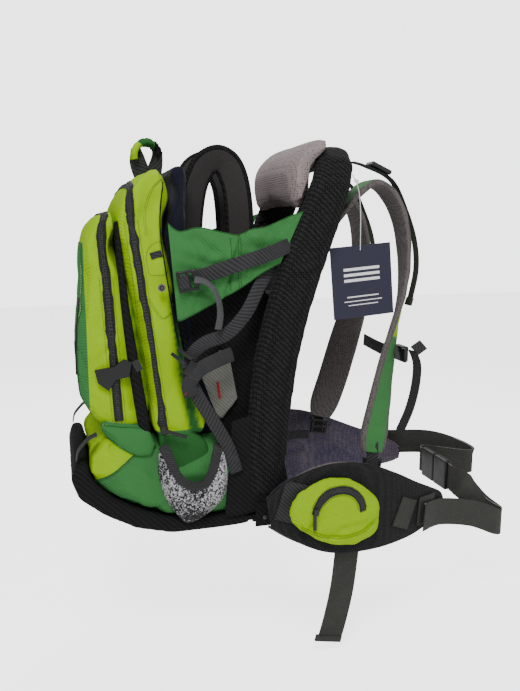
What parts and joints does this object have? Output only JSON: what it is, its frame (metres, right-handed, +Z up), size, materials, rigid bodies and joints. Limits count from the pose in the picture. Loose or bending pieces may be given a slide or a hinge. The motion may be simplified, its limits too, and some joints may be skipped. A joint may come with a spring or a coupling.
{
  "type": "baby carrier backpack",
  "caption": "Framed child carrier worn on the back, with cockpit seat, harness, daypack, base compartment with folding stand, padded straps and hip belt.",
  "frame": {"origin": "centre of the lumbar pad's front face, where it meets the wearer's back, at hip belt height on the middle plane", "axes": "+X is the wearer's forward, +Y the wearer's left, +Z up"},
  "size_m": [0.8865, 0.438, 0.9229],
  "materials": {
    "tube_alloy": "satin anodised",
    "moulded_black": "fine moulded grain",
    "steel_pin": "turned",
    "black_mesh": "stretch mesh",
    "grey_mesh": "3-D spacer mesh",
    "rose_mesh": "3-D spacer mesh",
    "navy_cloth": "brushed cloth",
    "grey_cloth": "plain weave",
    "green_cloth": "fine twill",
    "charcoal_cloth": "brushed cloth",
    "lime_cloth": "fine twill",
    "black_webbing": "ribbed webbing",
    "zip_tape": "coil zip",
    "speckled_mesh": "open net, black and white",
    "snap_steel": "pressed",
    "strap_cloth": "twill with mesh binding",
    "black_cloth": "heavy plain weave",
    "belt_webbing": "flat ribbed webbing",
    "zip_metal": "black",
    "navy_card": "matt coated card",
    "white_string": "twisted"
  },
  "bodies": {
    "carrier": {"frame_tube": "tube_alloy", "frame_crossbars": "tube_alloy", "hinge_bracket_left": "moulded_black", "hinge_bracket_right": "moulded_black", "hinge_pins": "steel_pin", "back_panel": "black_mesh", "lumbar_pad": "grey_mesh", "head_pad": "rose_mesh", "frame_sleeve": "black_mesh", "seat_back_foam": "navy_cloth", "seat_cushion": "grey_cloth", "side_panel_left": "green_cloth", "side_panel_right": "green_cloth", "child_strap_left": "charcoal_cloth", "child_strap_right": "charcoal_cloth", "child_buckle": "moulded_black", "daypack_body": "lime_cloth", "outer_pocket": "lime_cloth", "haul_loop": "black_webbing", "main_zip_tape": "zip_tape", "pocket_zip_tape": "zip_tape", "base_compartment": "green_cloth", "mesh_pocket_left": "speckled_mesh", "mesh_pocket_right": "speckled_mesh", "side_strap_left": "black_webbing", "side_strap_right": "black_webbing", "side_ladderlocks": "moulded_black", "stirrup_left": "black_webbing", "stirrup_right": "black_webbing", "press_snaps": "snap_steel", "shoulder_strap_left": "strap_cloth", "shoulder_strap_right": "strap_cloth", "load_lifter_left": "black_webbing", "load_lifter_right": "black_webbing", "lifter_buckles": "moulded_black", "strap_ladderlocks": "moulded_black", "lower_webbing": "black_webbing", "compression_straps": "black_webbing", "compression_clips": "moulded_black", "stand_straps": "black_webbing"},
    "kickstand": {"kickstand_tube": "tube_alloy", "base_rim": "black_cloth"},
    "wing_left": {"hip_wing_left": "black_mesh", "hip_pocket_left": "lime_cloth", "belt_webbing_left": "belt_webbing", "belt_buckle_left": "moulded_black"},
    "wing_right": {"hip_wing_right": "black_mesh", "hip_pocket_right": "lime_cloth", "belt_webbing_right": "belt_webbing", "belt_buckle_right": "moulded_black"},
    "hip_zip_left": {"hip_zip_slider_left": "zip_metal"},
    "hip_zip_right": {"hip_zip_slider_right": "zip_metal"},
    "main_zip": {"main_zip_slider": "zip_metal"},
    "front_zip": {"front_zip_slider": "zip_metal"},
    "rear_zip": {"rear_zip_slider": "zip_metal"},
    "sternum": {"sternum_strap": "black_webbing", "sternum_buckle": "moulded_black"},
    "belt_tail": {"hanging_strap": "belt_webbing"},
    "tag": {"swing_tag": "navy_card", "tag_string": "white_string"}
  },
  "joints": [
    {"name": "kickstand_swing", "type": "hinge", "parent": "carrier", "child": "kickstand", "pos_m": [-0.062, 0, -0.09], "axis": [0, -1, 0], "range_deg": [0, 24]},
    {"name": "wing_left_swing", "type": "hinge", "parent": "carrier", "child": "wing_left", "pos_m": [-0.062, 0.166, -0.07], "axis": [0, 0, 1], "range_deg": [0, 32]},
    {"name": "wing_right_swing", "type": "hinge", "parent": "carrier", "child": "wing_right", "pos_m": [-0.062, -0.166, -0.07], "axis": [0, 0, -1], "range_deg": [0, 32]},
    {"name": "hip_zip_left_travel", "type": "hinge", "parent": "wing_left", "child": "hip_zip_left", "pos_m": [0.054, 0.2126, -0.06847], "axis": [0, 1, 0], "range_deg": [0, 150]},
    {"name": "hip_zip_right_travel", "type": "hinge", "parent": "wing_right", "child": "hip_zip_right", "pos_m": [0.054, -0.2126, -0.07153], "axis": [0, 1, 0], "range_deg": [0, 150]},
    {"name": "main_zip_travel", "type": "slide", "parent": "carrier", "child": "main_zip", "axis": [-0.1188, 0, 0.9929], "range_m": [0, 0.36]},
    {"name": "front_zip_travel", "type": "slide", "parent": "carrier", "child": "front_zip", "axis": [-0.0487, 0, 0.9988], "range_m": [-0.17, 0]},
    {"name": "rear_zip_travel", "type": "slide", "parent": "carrier", "child": "rear_zip", "axis": [0, 0, 1], "range_m": [-0.08, 0.08]},
    {"name": "sternum_height", "type": "slide", "parent": "carrier", "child": "sternum", "axis": [0.2461, 0, 0.9693], "range_m": [-0.025, 0.025]},
    {"name": "belt_tail_swing", "type": "hinge", "parent": "wing_right", "child": "belt_tail", "pos_m": [0.092, -0.1695, -0.14], "axis": [0, 1, 0], "range_deg": [-20, 20]},
    {"name": "tag_swing", "type": "hinge", "parent": "carrier", "child": "tag", "pos_m": [0.104, -0.1215, 0.519], "axis": [1, 0, 0], "range_deg": [-5, 8]}
  ]
}
